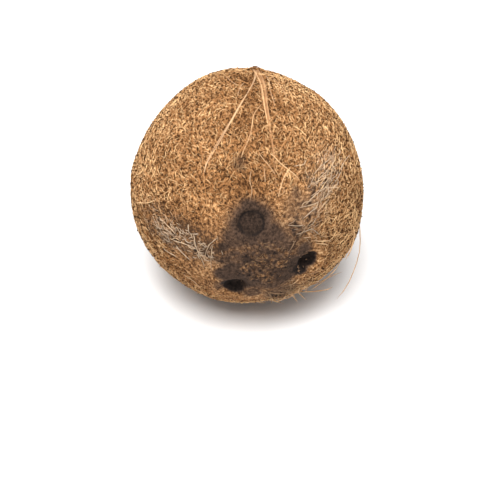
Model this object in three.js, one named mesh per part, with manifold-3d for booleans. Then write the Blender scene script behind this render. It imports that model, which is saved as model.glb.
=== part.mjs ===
// A husked brown coconut lying on its side, as one solid: a rounded nut with three soft corners, three eyes
// sunk in one end, and the coir fibres that are left on the shell. Millimetres, +Z up. The long axis lies
// along Y with the eyes at the -Y end, and the nut rests on a small flat spot at the origin.
// A place on the skin is given by two angles in degrees: polar, measured from the eye end (0) to the far tip
// (180), and turn, measured round the long axis from straight up (0) towards +X (90).
import * as THREE from "three";
import { mergeVertices } from "three/addons/utils/BufferGeometryUtils.js";
import Module from "manifold-3d";

// The nut's size
const HALF_WIDTH = 58;
const EYE_REACH = 57;
const TIP_REACH = 63;

// The three eyes: one open and shallow, two blind ones that are scooped out away from the axis. Each blind eye
// has a ramp on its inner side, which veers by some degrees towards the seam between them.
const EYES = [
  { polar: 24.5, turn: -13.6, radius: 6.2, open: true },
  { polar: 23.2, turn: 101, radius: 6.8, veer: 28, open: false },
  { polar: 22, turn: -141, radius: 7.5, veer: -20, open: false },
];
const OPEN_EYE = { dish: 1.0, groove: 0.6, grooveWidth: 0.9, lip: 0.5, lipWidth: 1.8 };
const BLIND_EYE = { hole: 4.6, holeShift: 1.2, lip: 0.7, lipWidth: 2.0 };
const BLIND_RAMP = { depth: 1.5, radius: 11, shift: 4.5 };
const SCAR = { depth: 0.9, width: 6 };

// The three corners, whose seams run between the eyes from the eye end towards the tip
const SEAM_TURNS = [44, 162, -78];
const CORNER_RISE = 0.6;
const SEAM = { rise: 0.9, width: 4.0, from: 10, full: 24, fade: 80, to: 135 };
const TIP = { rise: 1.6, width: 9 };

// Broad swells and flats of the skin, their widths in degrees, and finer unevenness between them
const SWELLS = [
  { polar: 131, turn: -12, rise: 2.3, width: 24 },
  { polar: 110, turn: 54, rise: 0.5, width: 16 },
  { polar: 124, turn: 22, rise: 0.8, width: 14 },
  { polar: 50, turn: 170, rise: -2.8, width: 28 },
  { polar: 66, turn: -138, rise: -0.9, width: 18 },
  { polar: 63, turn: 108, rise: 1.3, width: 12 },
];
const LUMP_RISE = 0.35;

// The body's mesh: the eye end is drawn finer than the rest
const BODY_DETAIL = 14;
const FINE_SHARE = 0.38;
const COARSE_SHARE = 1.48;
const FINE_END = 90;
const FINE_SPREAD = 9;

// The flat that it rests on, and where the long axis stands so that the whole nut is centred on the origin
const RESTING = { polar: 90, turn: 180, clear: 24 };
const FLAT_DEPTH = 1.3;
const NUT_PLACE = { x: 1.0, y: -3.9 };

// Fibres, laid on the skin with their ends sunk in it, some with a tail that stands clear
const FIBRE_THICK = 1.0;
const STRAND_THICK = 1.3;
const ROOT_SINK = 1.2;
const ROOT_RUN = 3;
const FIBRE_LIFT = 0.35;
const TAIL_LIFT = 2.2;
const FIBRE_STEP = 6.5;
const LONG_FIBRES = { count: 24, shortest: 22, longest: 46, heading: 24, bend: 24 };
const SHORT_FIBRES = { count: 54, shortest: 5, longest: 10, heading: 50, bend: 60 };
const BARE_TO = 33;
const TIP_FIBRES = { count: 7, from: 176, to: 134, swirl: 26 };
const KNOT = { polar: 122, turn: 9, width: 5.5, height: 3.6 };

// The strands that show most, each a list of [polar, turn]: down from the crown knot and across the corners
const STRANDS = [
  [[119, 9], [102, 4], [84, -5], [72, -14], [60, -28], [56, -32]],
  [[119, 9], [102, 9], [81, 8], [60, 9], [49, 10], [40, 11]],
  [[84, 5], [78, 1], [67, -2], [58, -8]],
  [[119, -13], [111, -9], [101, -6]],
  [[96, 13], [88, 14], [82, 17]],
  [[56, 9], [52, 14], [47, 25]],
  [[50, 19], [45, 16], [38, 14]],
  [[65, 45], [58, 40], [53, 37]],
  [[75, 58], [66, 54], [60, 54], [54, 52]],
  [[49, 47], [43, 42], [38, 39]],
  [[62, 98], [53, 93], [39, 82]],
];

// The frayed ends beside the eyes, whose tails stand clear of the skin
const FRAYED = [
  [[37, -69], [34, -76], [30, -91]],
  [[27, -70], [26, -81], [26, -94]],
  [[46, -80], [42, -78], [36, -77]],
  [[57, -73], [53, -73], [48, -74]],
  [[23, 142], [29, 148], [36, 153]],
  [[31, 164], [38, 168], [46, 168]],
  [[32, 136], [40, 142], [48, 146]],
  [[38, 120], [43, 118], [48, 113]],
];

const wasm = await Module();
wasm.setup();

const radians = THREE.MathUtils.degToRad;
const smoothstep = THREE.MathUtils.smoothstep;

function bell(distance, width) {
  return Math.exp(-((distance / width) ** 2));
}

// A repeatable draw between 0 and 1 for one fibre and one purpose
function draw(index, purpose) {
  const wave = Math.sin(index * 12.9898 + purpose * 78.233) * 43758.5453;
  return wave - Math.floor(wave);
}

function directionAt(polar, turn) {
  const side = Math.sin(radians(polar));
  return new THREE.Vector3(
    side * Math.sin(radians(turn)),
    -Math.cos(radians(polar)),
    side * Math.cos(radians(turn)),
  );
}

// How far one eye raises or sinks the skin in this direction
function eyeRelief(direction, eye) {
  const centre = directionAt(eye.polar, eye.turn);
  const outward = directionAt(eye.polar + 90, eye.turn);
  const sideways = directionAt(90, eye.turn + 90);
  const offset = direction.clone().sub(centre).multiplyScalar(HALF_WIDTH);
  const distance = offset.length();
  if (eye.open) {
    const dish = OPEN_EYE.dish * (1 - smoothstep(distance, eye.radius * 0.7, eye.radius * 1.1));
    const groove = OPEN_EYE.groove * bell(distance - eye.radius, OPEN_EYE.grooveWidth);
    const lip = OPEN_EYE.lip * bell(distance - eye.radius * 1.45, OPEN_EYE.lipWidth);
    return lip - dish - groove;
  }
  const fromHole = offset.clone().addScaledVector(outward, -BLIND_EYE.holeShift).length();
  const rampWay = outward.clone().multiplyScalar(-Math.cos(radians(eye.veer)));
  rampWay.addScaledVector(sideways, Math.sin(radians(eye.veer)));
  const fromRamp = offset.clone().addScaledVector(rampWay, -BLIND_RAMP.shift).length();
  const hole = BLIND_EYE.hole * (1 - smoothstep(fromHole, eye.radius * 0.35, eye.radius * 1.05));
  const ramp = BLIND_RAMP.depth * (1 - smoothstep(fromRamp, 0, BLIND_RAMP.radius));
  const outerSide = smoothstep(offset.dot(outward), -2, 5);
  const lip = BLIND_EYE.lip * bell(fromHole - eye.radius * 1.35, BLIND_EYE.lipWidth) * outerSide;
  return lip - hole - ramp;
}

// The corners' broad swell and the seam that runs along each
function cornerRelief(direction, polar) {
  const turn = Math.atan2(direction.x, direction.z);
  const side = Math.hypot(direction.x, direction.z);
  const along = smoothstep(polar, SEAM.from, SEAM.full) * (1 - smoothstep(polar, SEAM.fade, SEAM.to));
  let relief = CORNER_RISE * side ** 2 * Math.cos(3 * (turn - radians(SEAM_TURNS[0])));
  for (const seamTurn of SEAM_TURNS) {
    const away = turn - radians(seamTurn);
    if (Math.cos(away) > 0) {
      relief += SEAM.rise * along * bell(HALF_WIDTH * side * Math.sin(away), SEAM.width);
    }
  }
  return relief;
}

// The broad swells and flats, and the finer unevenness between them
function lumps(d) {
  const swells = SWELLS.reduce((sum, { polar, turn, rise, width }) => {
    return sum + rise * bell(d.angleTo(directionAt(polar, turn)), radians(width));
  }, 0);
  const first = Math.sin(3.4 * d.x + 1.6 * d.y + 0.5) * Math.sin(2.9 * d.z - 2.2 * d.y + 1.1);
  const second = Math.sin(5.3 * d.z + 3.1 * d.x + 2.0) * Math.cos(4.7 * d.y - 2.6 * d.x + 0.4);
  return swells + LUMP_RISE * (first + 0.6 * second);
}

// The skin's distance from the nut's centre along a direction
function skinRadius(direction) {
  const side = Math.hypot(direction.x, direction.z);
  const polar = THREE.MathUtils.radToDeg(Math.atan2(side, -direction.y));
  const reach = direction.y < 0 ? EYE_REACH : TIP_REACH;
  const oval = 1 / Math.hypot(side / HALF_WIDTH, direction.y / reach);
  const tip = TIP.rise * bell(radians(180 - polar) * TIP_REACH, TIP.width);
  const scar = SCAR.depth * bell(radians(polar) * EYE_REACH, SCAR.width);
  const eyes = EYES.reduce((sum, eye) => sum + eyeRelief(direction, eye), 0);
  return oval + tip - scar + eyes + cornerRelief(direction, polar) + lumps(direction);
}

// The point on the skin in line with a place, raised by the lift
function onSkin(place, lift) {
  const direction = place.clone().normalize();
  return direction.multiplyScalar(skinRadius(direction) + lift);
}

function skinPoint(polar, turn, lift) {
  return onSkin(directionAt(polar, turn), lift);
}

function solidFrom(geometry) {
  const bare = geometry.clone();
  bare.deleteAttribute("normal");
  bare.deleteAttribute("uv");
  const merged = mergeVertices(bare, 1e-4);
  return new wasm.Manifold(
    new wasm.Mesh({
      numProp: 3,
      vertProperties: merged.attributes.position.array,
      triVerts: new Uint32Array(merged.index.array),
    }),
  );
}

function geometryFrom(solid) {
  const mesh = solid.getMesh();
  const geometry = new THREE.BufferGeometry();
  geometry.setAttribute("position", new THREE.BufferAttribute(mesh.vertProperties, 3));
  geometry.setIndex(new THREE.BufferAttribute(mesh.triVerts, 1));
  geometry.computeVertexNormals();
  return geometry;
}

// Draws the even rings of a sphere in towards the eye end, in radians of polar angle
function drawnIn(evenPolar) {
  const blend = radians(FINE_SPREAD);
  const coarse = (angle) => blend * Math.log1p(Math.exp((angle - radians(FINE_END)) / blend));
  const gain = COARSE_SHARE - FINE_SHARE;
  const spread = (angle) => FINE_SHARE * angle + gain * (coarse(angle) - coarse(0));
  return (Math.PI * spread(evenPolar)) / spread(Math.PI);
}

function body() {
  const geometry = new THREE.IcosahedronGeometry(1, BODY_DETAIL);
  const position = geometry.attributes.position;
  const direction = new THREE.Vector3();
  for (let i = 0; i < position.count; i++) {
    direction.fromBufferAttribute(position, i).normalize();
    const evenPolar = Math.atan2(Math.hypot(direction.x, direction.z), -direction.y);
    const turn = Math.atan2(direction.x, direction.z);
    direction.copy(directionAt(THREE.MathUtils.radToDeg(drawnIn(evenPolar)), THREE.MathUtils.radToDeg(turn)));
    direction.multiplyScalar(skinRadius(direction));
    position.setXYZ(i, direction.x, direction.y, direction.z);
  }
  return solidFrom(geometry);
}

// One fibre along a route of [polar, turn] places. It runs on into the skin at its root, and at its tail
// unless the tail is lifted.
function fibre(route, thick, tailLift = -ROOT_SINK) {
  const places = route.map(([polar, turn]) => skinPoint(polar, turn, FIBRE_LIFT));
  const [first, second] = places;
  const [beforeLast, last] = places.slice(-2);
  const root = first.clone().add(first.clone().sub(second).setLength(ROOT_RUN));
  const tail = last.clone().add(last.clone().sub(beforeLast).setLength(ROOT_RUN));
  const path = new THREE.CatmullRomCurve3(
    [onSkin(root, -ROOT_SINK), ...places, onSkin(tail, tailLift)],
    false,
    "centripetal",
  );
  const section = new THREE.Shape([
    new THREE.Vector2(thick / 2, 0),
    new THREE.Vector2(-thick / 4, thick * 0.45),
    new THREE.Vector2(-thick / 4, -thick * 0.45),
  ]);
  const steps = Math.max(3, Math.round(path.getLength() / FIBRE_STEP));
  return solidFrom(new THREE.ExtrudeGeometry(section, { steps, extrudePath: path, bevelEnabled: false }));
}

// A fibre's route from its middle place, its heading off the long axis, its length and its bend in all
function routeThrough(polar, turn, heading, length, bend) {
  const places = 4;
  return Array.from({ length: places }, (_, i) => {
    const share = i / (places - 1) - 0.5;
    const way = radians(heading + bend * share);
    const arc = THREE.MathUtils.radToDeg((length * share) / HALF_WIDTH);
    const there = polar + arc * Math.cos(way);
    return [there, turn + (arc * Math.sin(way)) / Math.sin(radians(there))];
  });
}

// Fibres spread evenly over the nut along a spiral, clear of the eyes and of the flat spot
function scattered({ count, shortest, longest, heading, bend }, salt) {
  const golden = 180 * (3 - Math.sqrt(5));
  const resting = directionAt(RESTING.polar, RESTING.turn);
  const routes = [];
  for (let i = 0; i < count; i++) {
    const polar = THREE.MathUtils.radToDeg(Math.acos(1 - (2 * i + 1) / count));
    const turn = golden * i + salt;
    const length = shortest + (longest - shortest) * draw(i, salt + 1);
    const route = routeThrough(
      polar,
      turn,
      heading * (2 * draw(i, salt + 2) - 1),
      length,
      bend * (2 * draw(i, salt + 3) - 1),
    );
    const clear = route.every(
      ([p, t]) =>
        p > BARE_TO && p < 172 && directionAt(p, t).angleTo(resting) > radians(RESTING.clear),
    );
    if (clear) routes.push(route);
  }
  return routes;
}

// The fibres that gather at the far tip
function tipRoutes() {
  const { count, from, to, swirl } = TIP_FIBRES;
  return Array.from({ length: count }, (_, i) => {
    const turn = (360 / count) * i + 25 * draw(i, 9);
    const reach = to + 16 * draw(i, 10);
    return [
      [from, turn],
      [from - 8, turn + 2],
      [(from + reach) / 2, turn + swirl / 2],
      [reach, turn + swirl],
    ];
  });
}

// The knot of fibres at the crown, half sunk in the skin
function knot() {
  const geometry = new THREE.SphereGeometry(1, 12, 8);
  geometry.scale(KNOT.width / 2, KNOT.width / 2, KNOT.height / 2);
  const outward = directionAt(KNOT.polar, KNOT.turn);
  geometry.applyQuaternion(new THREE.Quaternion().setFromUnitVectors(new THREE.Vector3(0, 0, 1), outward));
  geometry.translate(...skinPoint(KNOT.polar, KNOT.turn, 0).toArray());
  return solidFrom(geometry);
}

function coconut() {
  const fibres = [
    ...STRANDS.map((route) => fibre(route, STRAND_THICK)),
    ...FRAYED.map((route) => fibre(route, FIBRE_THICK, TAIL_LIFT)),
    ...tipRoutes().map((route) => fibre(route, STRAND_THICK)),
    ...scattered(LONG_FIBRES, 1).map((route) => fibre(route, FIBRE_THICK)),
    ...scattered(SHORT_FIBRES, 4).map((route) => fibre(route, FIBRE_THICK)),
  ];
  const whole = wasm.Manifold.union([body(), knot(), ...fibres]);
  const restHeight = -skinPoint(RESTING.polar, RESTING.turn, -FLAT_DEPTH).z;
  const span = 4 * HALF_WIDTH;
  const floor = new THREE.BoxGeometry(span, span, span);
  floor.translate(0, 0, -restHeight - span / 2);
  const mesh = new THREE.Mesh(
    geometryFrom(whole.subtract(solidFrom(floor))),
    new THREE.MeshStandardMaterial({ color: 0x9a6a42, roughness: 0.9, metalness: 0 }),
  );
  mesh.name = "coconut";
  mesh.position.set(NUT_PLACE.x, NUT_PLACE.y, restHeight);
  return mesh;
}

const part = new THREE.Group();
part.add(coconut());
export default part;
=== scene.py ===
"""A husked brown coconut, dressed over its solid: a felt of short curly coir on the shell, the strands that
run down from the crown, the hairs frayed along the corners, and the three dark eyes.

A place on the skin is given as in the solid: polar degrees from the eye end (0) to the far tip (180), and
turn degrees round the long axis from straight up (0) towards +X (90). Shapes are worked out in millimetres
from the nut's centre, and are put in place in metres.
"""

import itertools
import math
from collections import namedtuple

import bpy
import numpy as np
from bpy.props import FloatProperty, FloatVectorProperty, IntProperty, PointerProperty
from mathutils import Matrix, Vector, noise


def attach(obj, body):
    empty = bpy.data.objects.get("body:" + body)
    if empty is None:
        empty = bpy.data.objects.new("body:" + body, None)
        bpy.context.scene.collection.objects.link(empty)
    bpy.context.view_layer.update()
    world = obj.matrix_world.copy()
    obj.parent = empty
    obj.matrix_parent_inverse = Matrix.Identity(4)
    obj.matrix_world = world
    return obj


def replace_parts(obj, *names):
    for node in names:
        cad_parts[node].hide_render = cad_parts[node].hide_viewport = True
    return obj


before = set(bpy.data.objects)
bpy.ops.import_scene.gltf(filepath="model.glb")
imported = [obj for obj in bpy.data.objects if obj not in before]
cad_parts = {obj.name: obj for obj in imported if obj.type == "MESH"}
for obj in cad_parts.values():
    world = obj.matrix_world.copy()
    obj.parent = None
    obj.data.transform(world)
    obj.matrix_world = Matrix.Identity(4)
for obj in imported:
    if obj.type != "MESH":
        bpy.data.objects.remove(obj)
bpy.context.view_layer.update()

bl_info = {
    "name": "Coconut",
    "version": (1, 0, 0),
    "blender": (4, 5, 0),
    "location": "View3D > Sidebar > Coconut",
    "description": "Dresses a husked coconut's solid in coir, and sets it on a pale floor",
    "category": "Object",
}

MM = 0.001
NODE = "coconut"
BODY = "root"

# The nut's size and place, as in the solid
HALF_WIDTH = 58.0
EYE_REACH = 57.0
TIP_REACH = 63.0
NUT_PLACE = (1.0, -3.9)
FLAT_DEPTH = 1.3

# The three eyes, as in the solid. veer is how far a blind eye's ramp turns off its way to the eye end
Eye = namedtuple("Eye", "polar turn radius veer")
OPEN_EYE = Eye(24.5, -13.6, 6.2, 0.0)
RIGHT_EYE = Eye(23.2, 101.0, 6.8, 28.0)
LOWER_EYE = Eye(22.0, -141.0, 7.5, -20.0)
EYES = (OPEN_EYE, RIGHT_EYE, LOWER_EYE)
# The eyes' relief: depths, heights and widths in millimetres
OPEN_DISH, OPEN_GROOVE, OPEN_GROOVE_WIDTH, OPEN_LIP, OPEN_LIP_WIDTH = 1.0, 0.6, 0.9, 0.5, 1.8
BLIND_HOLE, BLIND_HOLE_SHIFT, BLIND_LIP, BLIND_LIP_WIDTH = 4.6, 1.2, 0.7, 2.0
RAMP_DEPTH, RAMP_RADIUS, RAMP_SHIFT = 1.5, 11.0, 4.5
SCAR_DEPTH, SCAR_WIDTH = 0.9, 6.0

# The corners and their seams, the tip, and the broad swells, as in the solid. What lies along the seams has
# its width, and then the polar angles at which it starts, is full, fades and ends
SEAM_TURNS = (44.0, 162.0, -78.0)
CORNER_RISE = 0.6
SEAM_RISE, SEAM_RIDGE = 0.9, (4.0, 10, 24, 80, 135)
SEAM_FRAYING, SEAM_BLEACH, SEAM_COMBING = (6.5, 16, 26, 46, 66), (8.5, 16, 30, 50, 78), (9, 16, 30, 60, 100)
TIP_RISE, TIP_WIDTH = 1.6, 9.0
# Swells: polar, turn, rise in millimetres, and width in degrees
SWELLS = [
    (131, -12, 2.3, 24),
    (110, 54, 0.5, 16),
    (124, 22, 0.8, 14),
    (50, 170, -2.8, 28),
    (66, -138, -0.9, 18),
    (63, 108, 1.3, 12),
]
LUMP_RISE = 0.35

# The strands that the solid has too, as [polar, turn] places, and the crown knot that they come from
ROOT_SINK, ROOT_RUN, FIBRE_LIFT, TAIL_LIFT = 1.2, 3.0, 0.35, 2.2
KNOT_PLACE, KNOT_RISE, KNOT_WIDTH = (122, 9), 1.7, 5.5
STRANDS = [
    [(119, 9), (102, 4), (84, -5), (72, -14), (60, -28), (56, -32)],
    [(119, 9), (102, 9), (81, 8), (60, 9), (49, 10), (40, 11)],
    [(84, 5), (78, 1), (67, -2), (58, -8)],
    [(119, -13), (111, -9), (101, -6)],
    [(96, 13), (88, 14), (82, 17)],
    [(56, 9), (52, 14), (47, 25)],
    [(50, 19), (45, 16), (38, 14)],
    [(65, 45), (58, 40), (53, 37)],
    [(75, 58), (66, 54), (60, 54), (54, 52)],
    [(49, 47), (43, 42), (38, 39)],
    [(62, 98), (53, 93), (39, 82)],
]
LEFT_STRAND, BAND_STRAND, MIDDLE_STRAND = STRANDS[:3]
CROWN_STRANDS, HOOKS, CORNER_STRANDS, SIDE_STRAND = STRANDS[3:5], STRANDS[5:7], STRANDS[7:10], STRANDS[10]
BAND_REACHES = (0.42, 0.58, 0.8, 1.0, 0.76, 0.6, 0.5)
BAND_WIDTH, BAND_THICKNESS, BAND_SINK = 3.0, 0.56, 0.08
# Frayed hairs that the solid has too: four on the left seam and four under the eyes
FRAYED = [
    [(37, -69), (34, -76), (30, -91)],
    [(27, -70), (26, -81), (26, -94)],
    [(46, -80), (42, -78), (36, -77)],
    [(57, -73), (53, -73), (48, -74)],
    [(23, 142), (29, 148), (36, 153)],
    [(31, 164), (38, 168), (46, 168)],
    [(32, 136), (40, 142), (48, 146)],
    [(38, 120), (43, 118), (48, 113)],
]
LEFT_FRAYED, LOWER_FRAYED = FRAYED[:4], FRAYED[4:]
LONG_FIBRES = {"count": 24, "shortest": 22, "longest": 46, "heading": 24, "bend": 24, "salt": 1}
SHORT_FIBRES = {"count": 54, "shortest": 5, "longest": 10, "heading": 50, "bend": 60, "salt": 4}
TIP_FIBRES = {"count": 7, "from": 176, "to": 134, "swirl": 26}
# Scattered fibres keep out of the eye end up to this polar angle, and off the flat that the nut rests on
BARE_TO = 33.0
RESTING = {"polar": 90, "turn": 180, "clear": 24}

# Finer strands that only the dressing has, as [polar, turn] places
FINE_STRANDS = [
    [(56, 2), (52, 5), (48, 9)],
    [(49, 3), (45, 3.5)],
    [(48, -5), (44, -7), (40, -7), (36, -9)],
    [(40, 14), (41, 16), (39, 18), (37, 15)],
    [(114, -8), (108, -6), (104, -4)],
    [(104, 0), (98, -3), (93, -5)],
    [(118, 12), (107, 13), (97, 12), (86, 12)],
    [(116, 15), (104, 18), (94, 19)],
    [(18, 54), (14.5, 61)],
    [(44, -113), (41, -119), (41, -126)],
    [(41, -106), (38, -114)],
]

# Bleached hairs that cross the corners: their places, and how far the last place stands clear of the skin
CORNER_HAIRS = [
    ([(29, -67), (29, -74), (29, -81)], 1.2),
    ([(44, -85), (41, -88), (39, -90)], 0.3),
    ([(32, -78), (30, -83)], 0.8),
    ([(29, -67), (28, -60)], 1.2),
    ([(53, -93), (47, -94)], 0.2),
    ([(42, -64), (40, -68), (38, -66)], 0.8),
    ([(67, 52), (63, 49), (59, 47)], 0.3),
    ([(57, 44), (52, 41)], 0.4),
    ([(53, 44), (50, 41), (48, 38)], 0.4),
    ([(38, 48), (35, 45), (32, 43)], 0.4),
    ([(45, 54), (39, 52)], 0.4),
    ([(40, 46), (35, 37)], 0.4),
    ([(27, 44), (25, 36)], 0.6),
    ([(23, 48), (27, 55), (29, 58), (30, 65)], 0.8),
    ([(54, 57), (50, 50)], 0.3),
    ([(57, 29), (54, 28), (53, 25)], 0.3),
]

# Hairs that stand free, as [polar, turn, lift]
FREE_HAIRS = [
    [(67, 97, 0), (64, 107, 3), (62, 111, 5), (58, 118, 8), (54, 127, 11.5), (51, 135, 13.5)],
    [(57, 92, 0), (55, 97, 1.5), (50, 103, 3.5), (46, 108, 4.5)],
    [(64, -66, 0), (68, -72, 1.5), (73, -76, 3.5)],
    [(31, 139, 0), (37, 138, 1), (43, 137, 1), (50, 135, 1.5), (54, 128, 3), (55, 123, 5)],
    [(40, 153, 0), (50, 150, 1), (50, 146, 2.5), (51, 141, 4.5), (51, 136, 6.5), (52, 132, 7.5)],
    [(58, 119, 0), (55, 124, 1.5), (53, 133, 2), (51, 138, 2), (50, 144, 2.5)],
    [(26, 147, 0), (33, 151, 1), (40, 154, 1), (46, 155, 2.5), (49, 155, 5.5)],
    [(35, 148, 0), (42, 149, 1), (49, 151, 2), (49, 150, 4), (49, 149, 6)],
    [(21, 176, 0), (27, 171, 1), (38, 170, 1), (47, 169, 1), (48, 163, 3)],
    [(30, 155, 0), (34, 158, 1), (40, 162, 1), (47, 165, 1), (47, 168, 2)],
    [(22, 173, 0.5), (26, 161, 1), (30, 155, 0.5)],
    [(26, 71, 0), (30, 77, 1), (36, 84, 1.5)],
    [(27, 76, 0), (31, 82, 1), (34, 86, 1.5)],
]

# Pale crumbs in the blind eyes: their middle, how far they spread in degrees, and how many
CRUMBS = [((21, 117), (1.2, 6), 11), ((23.5, 110), (2, 9), 5), ((23.5, -140), (1.6, 8), 4)]

# Broad patches of darker or paler coir, some of them painted shade: polar, turn, width in degrees, and how
# far the tone moves
TONE_AND_PAINTED_SHADE = [
    # Painted shade: the hollow between the strands below the crown knot
    (108, 1, 8, -0.16),
    (93, 3, 9, -0.15),
    (76, 0, 13, -0.09),
    (46, -6, 13, -0.15),
    # These three are darker low on the left: partly darker, dirtier coir below the seam, partly painted shade
    (60, -78, 13, -0.23),
    (40, -76, 13, -0.26),
    (45, -120, 16, -0.07),
    (78, -50, 20, -0.05),
    (75, 62, 18, -0.04),
    (100, 24, 10, 0.16),
    (121, 8, 4, -0.2),
    (46, 100, 16, 0.08),
    # Painted shade: a dark gash behind the hairs on the left seam
    (44, -66, 3, -0.45),
    (37, -67, 3, -0.65),
    (30, -69, 3, -0.8),
    (25, -71, 3.2, -0.85),
]

# Stained patches of the eye end: polar, turn, radius in millimetres, the share of it that fades, how dark
STAINS = [
    (24, -14, 17.0, 0.6, 0.8),
    (31, -12, 9.0, 0.7, 0.76),
    (17, 12, 12.5, 0.6, 0.76),
    (21, -40, 11.5, 0.65, 0.72),
    (15, -14, 11.0, 0.7, 0.74),
    (15, -112, 13.0, 0.5, 0.82),
    (20, -108, 9.0, 0.6, 0.82),
    (20, -138, 10.5, 0.4, 0.84),
    (14, -152, 10.0, 0.6, 0.78),
    (13, 116, 12.5, 0.5, 0.8),
    (13, 94, 9.0, 0.6, 0.8),
    (17, 108, 9.5, 0.5, 0.86),
    (20.9, 113, 7.0, 0.5, 0.99),
    (22.3, 107, 6.8, 0.5, 0.99),
    (23.0, -129, 5.5, 0.5, 0.97),
    (14, -168, 11.0, 0.7, 0.7),
    (15, 142, 11.0, 0.7, 0.7),
    (9.8, -60, 4.5, 0.5, 0.9),
    (7.6, 21, 4.0, 0.5, 0.88),
    (22, -60, 3.4, 0.6, 0.76),
    (33, 30, 13.0, 0.8, 0.4),
    (40, 27, 3.5, 0.6, 0.5),
    (20.5, 76, 8.5, 0.7, 0.74),
    (19, 48, 12.0, 0.7, 0.56),
    (27, 160, 13.0, 0.6, 0.62),
    (23, -168, 9.0, 0.7, 0.66),
    (27, -128, 7.0, 0.8, 0.62),
    (54, -11, 5.5, 0.7, 0.42),
]

# Where the felt has worn off: all of it up to the first polar angle and none past the second, both less by
# WORN_ASIDE on the side at WORN_TURN, and a round patch above the eyes
WORN_FROM, WORN_TO, WORN_ASIDE, WORN_TURN = 25, 48, 7, 85
WORN_PATCH = {"polar": 33, "turn": 33, "radius": 18, "soft": 0.5}

# The stain all over the eye end and the grime round it: how dark, and between which polar angles it fades
SOOT, SOOT_FROM, SOOT_TO = 0.72, 13, 27
GRIME, GRIME_FROM, GRIME_TO = 0.2, 26, 48

# Small specks and pits: one to each cell of this size, their radius, and a shift that keeps them apart
BLACK_SPECKS = {"cell": 2.6, "width": 0.75, "shift": 11}
TAN_SPECKS = {"cell": 2.4, "width": 0.85, "shift": 57}
LARGE_PITS = {"cell": 3.0, "width": 0.55, "shift": 0}
SMALL_PITS = {"cell": 1.8, "width": 0.36, "shift": 40}
TORN_PITS = {"cell": 3.2, "width": 0.95, "shift": 90}
TORN_CROWN = {"polar": 88, "turn": 4, "radius": 32, "soft": 0.7}
# The pits are worked out on places squeezed by this along the nut, which makes them longer that way
PIT_SQUEEZE = 0.55
SCATTER_GAIN = 43758.5453
SCATTER_WAYS = ((127.1, 311.7, 74.7), (269.5, 183.3, 246.1), (113.5, 271.9, 124.6))

# Dark plugs and dark slots, painted shade that stands in for the shaded gaps in the felt, and long fibres:
# their length and thickness in shares of the usual
KIND_LENGTHS = (0.5, 0.7, 2.0)
KIND_GIRTHS = (2.3, 1.25, 0.8)
SHADE_PLUG_SHARE, LONG_SHARE, LOOSE_SHARE = 0.1, 0.22, 0.02

# Loose hairs: middle and its spread as (polar, turn), heading off the long axis and its spread, length, how
# far they rise, how many, and how bleached
TUFTS = [
    ((31, -75), (4, 6), (30, 50), (1.6, 4), (0.3, 1.4), 48, 0.9),
    ((48, -73), (8, 3.5), (15, 35), (2, 5), (0.1, 0.9), 70, 0.75),
    ((50, 47), (11, 5), (8, 16), (4, 9), (0.1, 0.8), 60, 0.65),
    ((32, 54), (6, 9), (30, 35), (2, 6), (0.1, 0.7), 30, 0.5),
    ((33, 150), (6, 12), (-25, 45), (4, 11), (0.5, 3.0), 70, 0.25),
    ((62, 160), (9, 9), (0, 40), (5, 12), (0.3, 2.0), 40, 0.2),
    ((44, 100), (10, 12), (20, 60), (3, 7), (0.1, 0.8), 60, 0.0),
    ((121, 8), (3, 8), (0, 70), (4, 11), (0.2, 1.4), 30, 0.0),
    ((172, 0), (4, 120), (0, 60), (4, 9), (0.2, 1.5), 40, 0.0),
]

# The loose hairs' thicknesses in millimetres, and the seeds of each piece's random draws
TAIL_THICKNESS, CORNER_THICKNESS, TUFT_THICKNESS, FREE_THICKNESS = 0.34, 0.28, 0.3, 0.54
FELT_SEED, STRAND_SEED, HAIR_SEED = 21, 22, 23

# How finely the pieces are divided
SHELL_CUTS = 104
FELT_PLACES, HAIR_PLACES, STRAND_PLACES = 4, 9, 24

# The photograph's view: the azimuth and elevation of the camera and of its aim, its distance in metres, and
# its lens and sensor in millimetres
CAMERA_FROM = (-8.0, 39.0)
CAMERA_AIM = (-8.086, 40.866)
CAMERA_DISTANCE = 0.9
CAMERA_LENS = 128.46
SENSOR_WIDTH = 36.0

# The light overhead, in metres
LAMP_SIZE = 0.9
LAMP_PLACE = (-0.15, -0.35, 1.15)


# The skin
def bell(distance, width):
    return np.exp(-((distance / width) ** 2))


def smoothstep(value, low, high):
    share = np.clip((value - low) / (high - low), 0.0, 1.0)
    return share * share * (3.0 - 2.0 * share)


def direction_at(polar, turn):
    """The direction of a place from the nut's centre, for numbers or arrays of degrees."""
    polar, turn = np.radians(polar), np.radians(turn)
    side = np.sin(polar)
    return np.stack(np.broadcast_arrays(side * np.sin(turn), -np.cos(polar), side * np.cos(turn)), -1)


def polar_of(direction):
    side = np.hypot(direction[..., 0], direction[..., 2])
    return np.degrees(np.arctan2(side, -direction[..., 1]))


def turn_of(direction):
    return np.degrees(np.arctan2(direction[..., 0], direction[..., 2]))


def eye_offset(direction, eye):
    """From an eye's middle to each place in millimetres, and which way is outward from the eye end."""
    offset = (direction - direction_at(eye.polar, eye.turn)) * HALF_WIDTH
    return offset, direction_at(eye.polar + 90, eye.turn)


def from_ramp_of(direction, eye):
    """Millimetres from the middle of a blind eye's ramp."""
    offset, outward = eye_offset(direction, eye)
    veer = math.radians(eye.veer)
    way = direction_at(90.0, eye.turn + 90) * math.sin(veer) - outward * math.cos(veer)
    return np.linalg.norm(offset - way * RAMP_SHIFT, axis=-1)


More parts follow.
